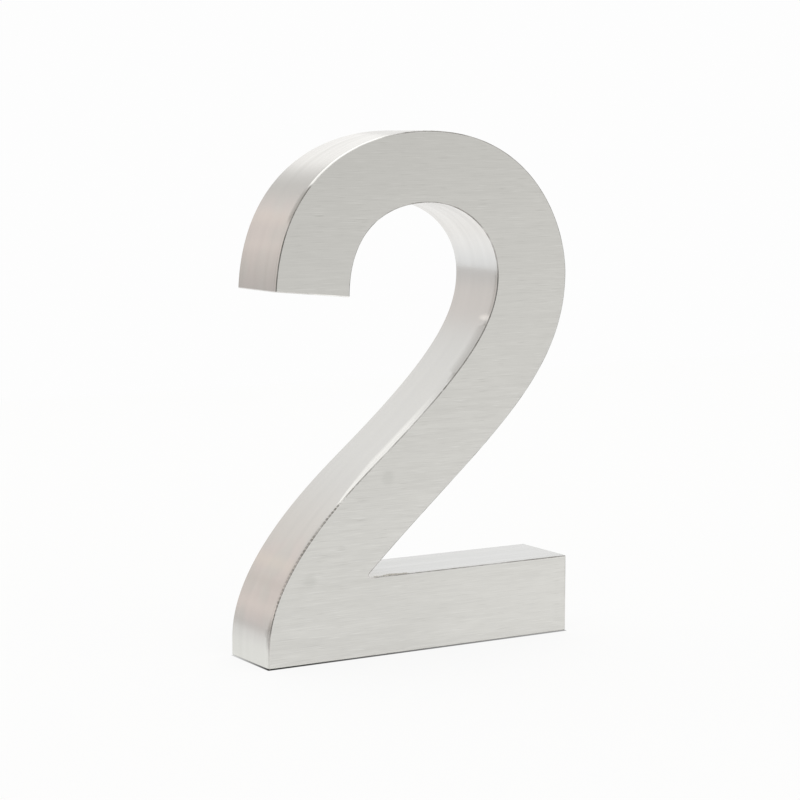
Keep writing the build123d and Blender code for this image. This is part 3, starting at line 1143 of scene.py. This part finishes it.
def makeSleeve(node, across, height):
    s, rows = sleeve, sleeveProfile()
    centre = spot(across, height)
    points, layout, girth = [], [], 0.0
    for k, (radius, depth, share) in enumerate(rows):
        girth += math.hypot(radius - rows[k - 1][0], depth - rows[k - 1][1]) if k else 0.0
        for step in range(s["steps"]):
            turn = step / s["steps"]
            ridge = abs(2 * ((depth / s["threadPitch"] - turn) % 1.0) - 1)
            r = radius - share * ridge * (s["threadRadius"] - s["threadCore"])
            angle = 2 * math.pi * turn
            points.append((mm(centre.x + r * math.cos(angle)), mm(depth), mm(centre.y + r * math.sin(angle))))
            layout.append((mm(angle * s["radius"]), mm(girth)))
    faces = [(k * s["steps"] + step, k * s["steps"] + (step + 1) % s["steps"],
              (k + 1) * s["steps"] + (step + 1) % s["steps"], (k + 1) * s["steps"] + step)
             for k in range(len(rows) - 1) for step in range(s["steps"])]
    mesh = newMesh(node, points, [], faces)
    uv = mesh.uv_layers.new(name="UVMap")
    uv.data.foreach_set("uv", [c for loop in mesh.loops for c in layout[loop.vertex_index]])
    mesh.shade_smooth()
    mesh.materials.append(turnedSteel)
    piece = linkObject(node.replace("_", "") + "Turned", mesh)
    print(piece.name, "closed, open edges:", closeMesh(mesh))
    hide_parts(node)
    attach(piece, "root")
    return piece


for node, (across, height) in sleevePlaces.items():
    piece = makeSleeve(node, across, height)
    print(piece.name, "made:", len(piece.data.polygons), "faces")


floorSize = {
    "left": -1100.0,
    "right": 1100.0,
    "ahead": -900.0,
    "behind": 860.0,        # the table's far edge
    "height": -0.1,
    "colour": "#f2f2f0",
    "glowFront": 1.405,     # how bright the steel sees it: in front, behind and from above
    "glowBack": 0.955,
    "glowNear": 1.31,
    "turnsBehind": (-60, 60),
    "haze": 0.79,           # and behind at a grazing angle
    "hazeFacing": (0.963, 0.936),
    "glowShare": 0.86,      # the rest is lit by the lamp, and takes the shadow
    "contactReach": (0.65, 0.15),  # the painted contact shadow where the bar meets the paper
    "contactShadowColour": "#1c1b19",
    "contactEnds": (0.6, 0.3),  # how weak it gets to the right and to the back
}


def contactShade(add, place):
    # Painted contact shadow: 1 beside the bar's footprint, fading outwards, and weaker away from the front
    # left corner
    halfWidth, halfDepth = numeral["width"] / 2, numeral["depth"] / 2
    right, back = floorSize["contactEnds"]
    x, y, _ = add("SeparateXYZ", place).outputs
    for operation, *other in (("ABSOLUTE",), ("SUBTRACT", (halfWidth, halfDepth, 0)), ("MAXIMUM", (0, 0, 0)),
                              ("MULTIPLY", (1, 1, 0)), ("LENGTH",)):
        place = add("VectorMath", place, *other, operation=operation)
    return overlap(add, add("MapRange", place, *floorSize["contactReach"], **soft),
                   (x, -halfWidth, halfWidth, 1.0, right), (y, -halfDepth, halfDepth, 1.0, back))


def makeFloor():
    f = floorSize
    left, right, front, back, height = (
        mm(f[name]) for name in ("left", "right", "ahead", "behind", "height"))
    corners = [(left, front, height), (right, front, height), (right, back, height), (left, back, height)]
    floor = linkObject("floor", newMesh("floor", corners, [], [(0, 1, 2, 3)]))
    material, add, place = startMaterial("paperSweep")
    # Steel sees the paper brightest from above, and dimmer towards the table's far edge
    facing = add("LayerWeight").outputs["Facing"]
    behind = add("MapRange", add("SeparateXYZ", place).outputs["Y"], *f["turnsBehind"])
    far = add("MapRange", behind, 0.0, 1.0, f["glowFront"], f["glowBack"])
    haze = add("MapRange", behind, 0.0, 1.0, 1.0, f["haze"])
    mirrored = overlap(add, (facing, 1.0, 0.5, far, f["glowNear"]),
                       add("MapRange", facing, *f["hazeFacing"], haze, 1.0, **soft))
    rays = add("LightPath").outputs
    strength = add("Mix", rays["Is Glossy Ray"], 1.0, mirrored, data_type="FLOAT")
    contact = contactShade(add, place)
    lit, paper = (paint(add, colour, (f["contactShadowColour"], contact)) for colour in ("#ffffff", f["colour"]))
    glow = add("Emission", {"Color": lit, "Strength": strength})
    seen = rays["Is Camera Ray"]
    for name in ("Is Glossy Ray", "Is Transmission Ray"):
        seen = add("Math", seen, rays[name], operation="MAXIMUM")
    shader, output = (material.node_tree.nodes[name] for name in ("Principled BSDF", "Material Output"))
    setInputs(shader, {"Roughness": 0.8, "Base Color": paper})
    mixed = add("MixShader", add("Math", seen, f["glowShare"], operation="MULTIPLY"), shader, glow)
    setInputs(output, {"Surface": mixed})
    floor.data.materials.append(material)


# Soft studio room: a pale wall, dimmer and a little warm behind on the left, and dimmer in
# front. One large softbox stands behind on the right. Strengths are relative to white.
roomLight = {
    "high": (1.024, 1.024, 1.006),
    "rightBand": (1.03, 1.03, 1.025),
    "leftBand": (0.895, 0.845, 0.81),
    "leftHorizon": (0.795, 0.768, 0.75),
    "frontLeft": (0.645, 0.64, 0.625),
    "frontRight": (0.865, 0.86, 0.845),
    "frontHigh": (0.89, 0.89, 0.88),
    "photographer": (0.32, 0.32, 0.315),
    "zenith": (1.1, 1.1, 1.1),
    "shown": (0.984, 0.984, 0.984),  # what the camera sees of it
}
# Between which parts of a unit vector, x to the right, y to the back and z up, each tone comes in
roomTurns = {
    "leftHorizon": (0.16, -0.06),
    "leftBand": (0.2, -0.25),
    "high": (0.40, 0.545),
    "frontRight": (0.42, 0.62),
    "frontHigh": (0.25, 0.7),
    "photographer": (0.70, 0.93),
    "photographerTop": (0.5, 0.15),
    "front": (0.35, -0.25),
    "zenith": (0.6, 0.95),
}
photographerWay = (-0.62, -0.78, 0.0)
softbox = {
    "left": 0.0,
    "right": 420.0,
    "bottom": 340.0,
    "top": 1200.0,
    "behind": 800.0,
    "strength": 0.24,
}


def makeRoom():
    tones = {name: (*colour, 1.0) for name, colour in roomLight.items()}
    world = bpy.data.worlds.new("studio")
    bpy.context.scene.world = world
    world.use_nodes = True
    add = partial(addNode, world.node_tree)
    way = add("TexCoord").outputs["Generated"]
    x, y, z = add("SeparateXYZ", way).outputs
    towards = add("VectorMath", way, photographerWay, operation="DOT_PRODUCT")
    masks = {name: add("MapRange", value, *roomTurns[name], **soft) for name, value in (
        ("leftBand", x), ("high", z), ("frontRight", x), ("frontHigh", z), ("photographer", towards),
        ("photographerTop", z), ("front", y), ("zenith", z))}
    left = paint(add, tones["leftBand"], (tones["leftHorizon"], (z, *roomTurns["leftHorizon"])))
    back = paint(add, tones["rightBand"], (left, masks["leftBand"]), (tones["high"], masks["high"]))
    front = paint(add, tones["frontLeft"], (tones["frontRight"], masks["frontRight"]),
                  (tones["frontHigh"], masks["frontHigh"]),
                  (tones["photographer"], masks["photographer"], masks["photographerTop"]))
    room = paint(add, back, (front, masks["front"]), (tones["zenith"], masks["zenith"]),
                 (tones["shown"], add("LightPath").outputs["Is Camera Ray"]))
    setInputs(world.node_tree.nodes["Background"], {"Color": room})
    s = softbox
    lamp = bpy.data.lights.new("softbox", "AREA")
    lamp.shape = "RECTANGLE"
    lamp.size, lamp.size_y = mm(s["right"] - s["left"]), mm(s["top"] - s["bottom"])
    lamp.energy = s["strength"] * math.pi * lamp.size * lamp.size_y
    box = linkObject("softbox", lamp)
    box.location = (mm(s["left"] + s["right"]) / 2, mm(s["behind"]), mm(s["bottom"] + s["top"]) / 2)
    box.rotation_euler = (math.radians(-90), 0, 0)
    box.visible_camera = False


# The camera's place is in metres, as the three sizes in the photograph gave it
cameraView = {
    "place": (-0.46059, -0.76, 0.1985),
    "tilt": -6.584,
    "turn": -31.145,
    "lens": 103.6,
    "sensor": 36.0,
}


def makeCamera():
    c = cameraView
    data = bpy.data.cameras.new("camera")
    data.lens, data.sensor_width = c["lens"], c["sensor"]
    camera = linkObject("camera", data)
    camera.location = c["place"]
    camera.rotation_euler = (math.radians(90 + c["tilt"]), 0, math.radians(c["turn"]))
    bpy.context.scene.camera = camera


makeFloor()
makeRoom()
makeCamera()
bpy.context.scene.view_settings.view_transform = "Standard"
bpy.context.scene.render.film_transparent = False
bpy.context.view_layer.update()
print("scene ready")
